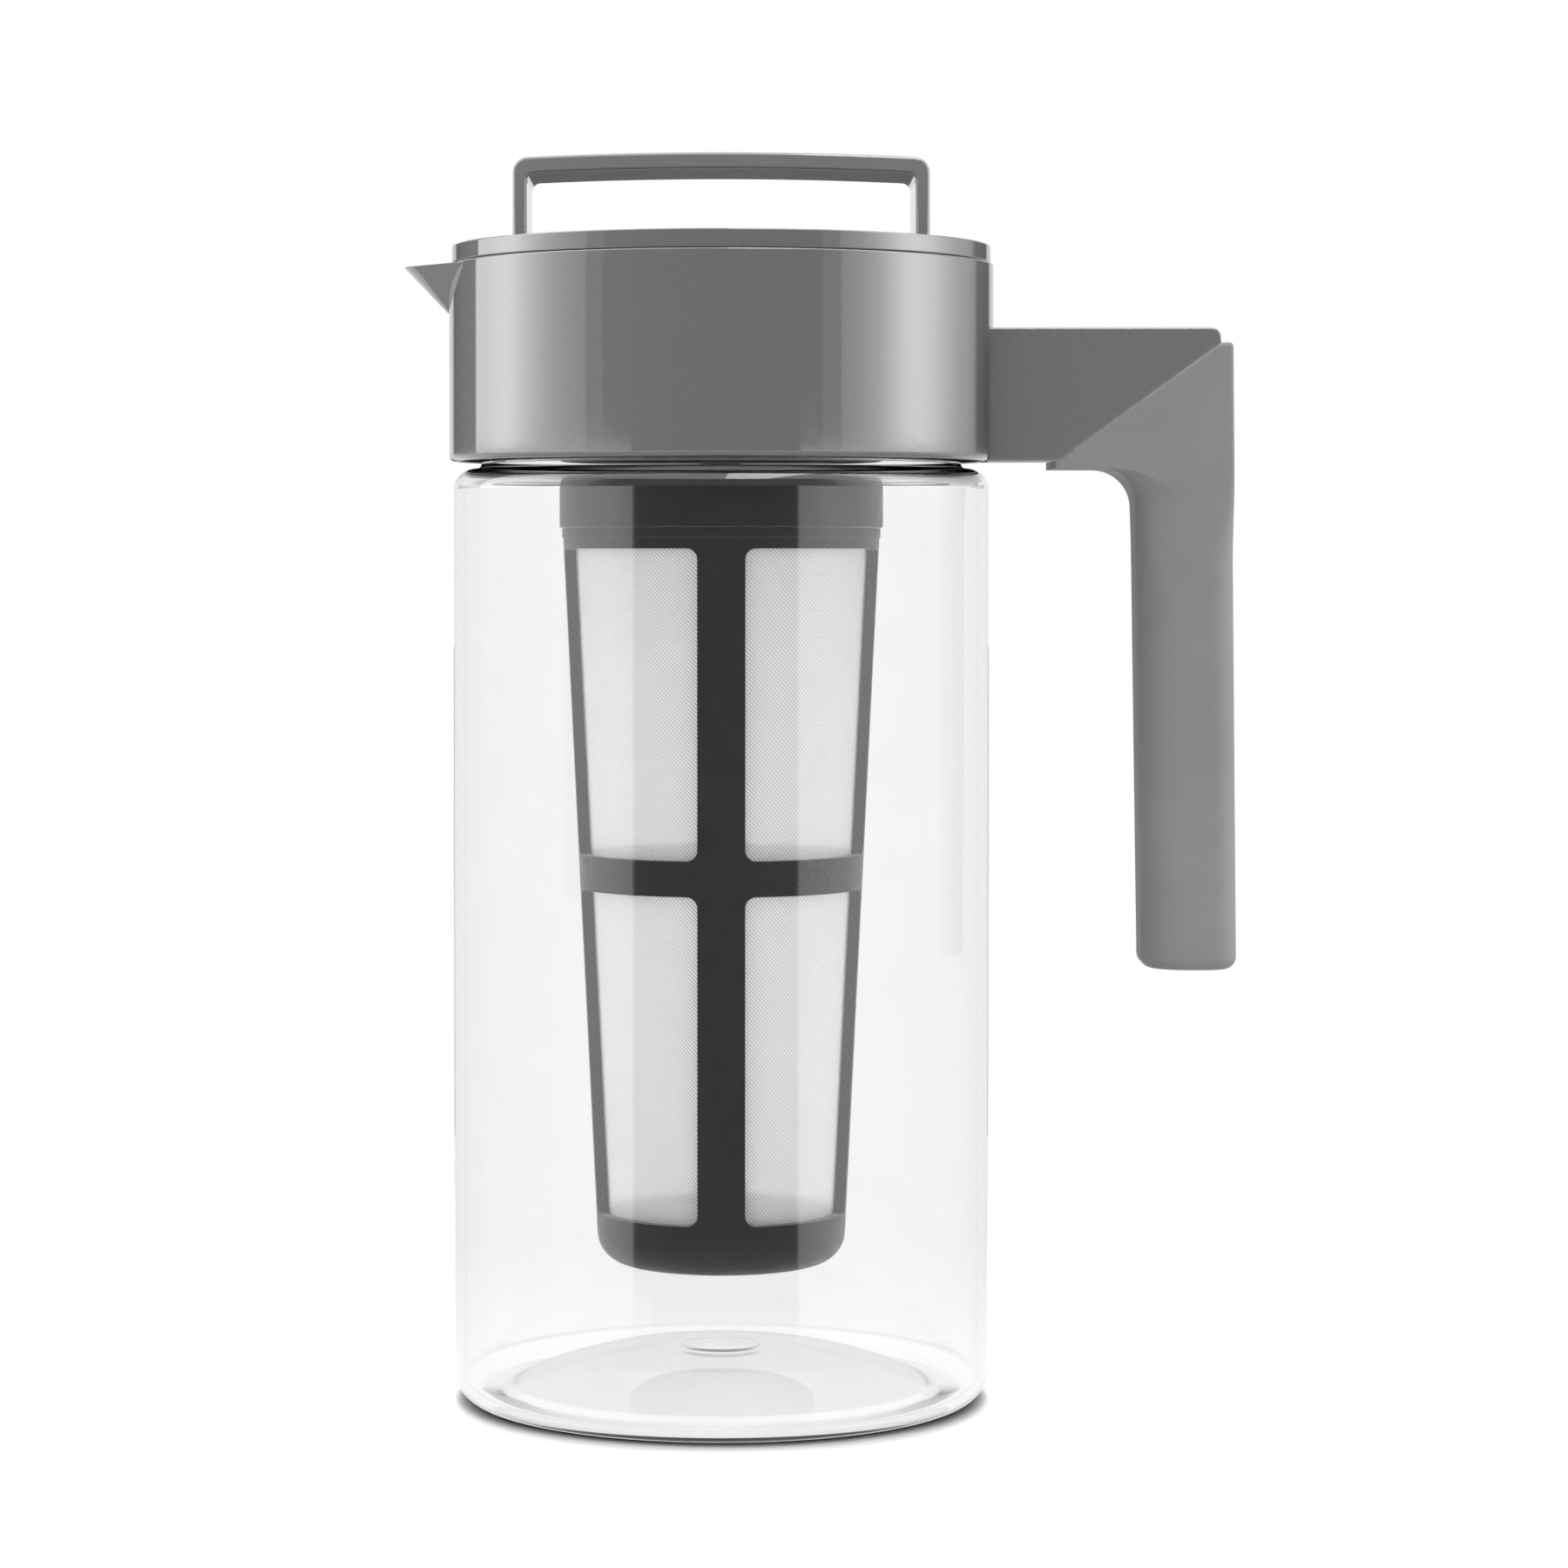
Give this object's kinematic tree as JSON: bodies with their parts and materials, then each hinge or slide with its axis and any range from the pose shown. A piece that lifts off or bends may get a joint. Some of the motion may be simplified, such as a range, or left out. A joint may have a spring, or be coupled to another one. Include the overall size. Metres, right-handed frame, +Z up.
{
  "type": "cold brew coffee maker",
  "caption": "Clear pitcher with a grey spouted collar, side handle and round lid with a bail, brewing coffee in a dark tapered mesh infuser hung inside.",
  "frame": {"origin": "centre of the bounding box's bottom face, on the surface the jar stands on; the jar's own axis is at x = -0.02245 m", "axes": "+Z up along the jar's axis, +X towards the side handle, -X towards the spout, +Y to the back of the pictured side"},
  "size_m": [0.1869, 0.122, 0.2786],
  "materials": {
    "clear_plastic": "clear, glossy moulded copolyester",
    "grey_plastic": "glossy moulded grey plastic",
    "soft_grip": "matte soft-touch over-moulding",
    "dark_plastic": "satin dark moulded plastic",
    "fine_mesh": "fine translucent woven filter mesh",
    "silicone": "satin translucent silicone"
  },
  "bodies": {
    "pitcher": {"jar_base": "clear_plastic", "jar_side": "clear_plastic", "jar_neck": "clear_plastic", "collar": "grey_plastic", "neck_ring": "grey_plastic", "neck_gasket": "silicone", "handle_core": "grey_plastic", "handle_grip": "soft_grip"},
    "seal": {"lid_seal": "silicone"},
    "lid": {"lid_cap": "grey_plastic", "lid_handle": "grey_plastic", "lid_plug": "grey_plastic"},
    "sleeve": {"infuser_mesh": "fine_mesh"},
    "infuser": {"infuser_ring": "dark_plastic", "infuser_frame": "dark_plastic"}
  },
  "joints": [
    {"name": "lid_lift", "type": "slide", "parent": "pitcher", "child": "seal", "axis": [0, 0, 1], "range_m": [0, 0.25]},
    {"name": "lid_turn", "type": "hinge", "parent": "seal", "child": "lid", "pos_m": [-0.02245, 0, 0.2436], "axis": [0, 0, 1], "range_deg": [0, 90]},
    {"name": "infuser_pull", "type": "slide", "parent": "lid", "child": "sleeve", "axis": [0, 0, -1], "range_m": [0, 0.018]},
    {"name": "infuser_twist", "type": "hinge", "parent": "sleeve", "child": "infuser", "pos_m": [-0.02245, 0, 0.2], "axis": [0, 0, 1], "range_deg": [-90, 0]}
  ]
}
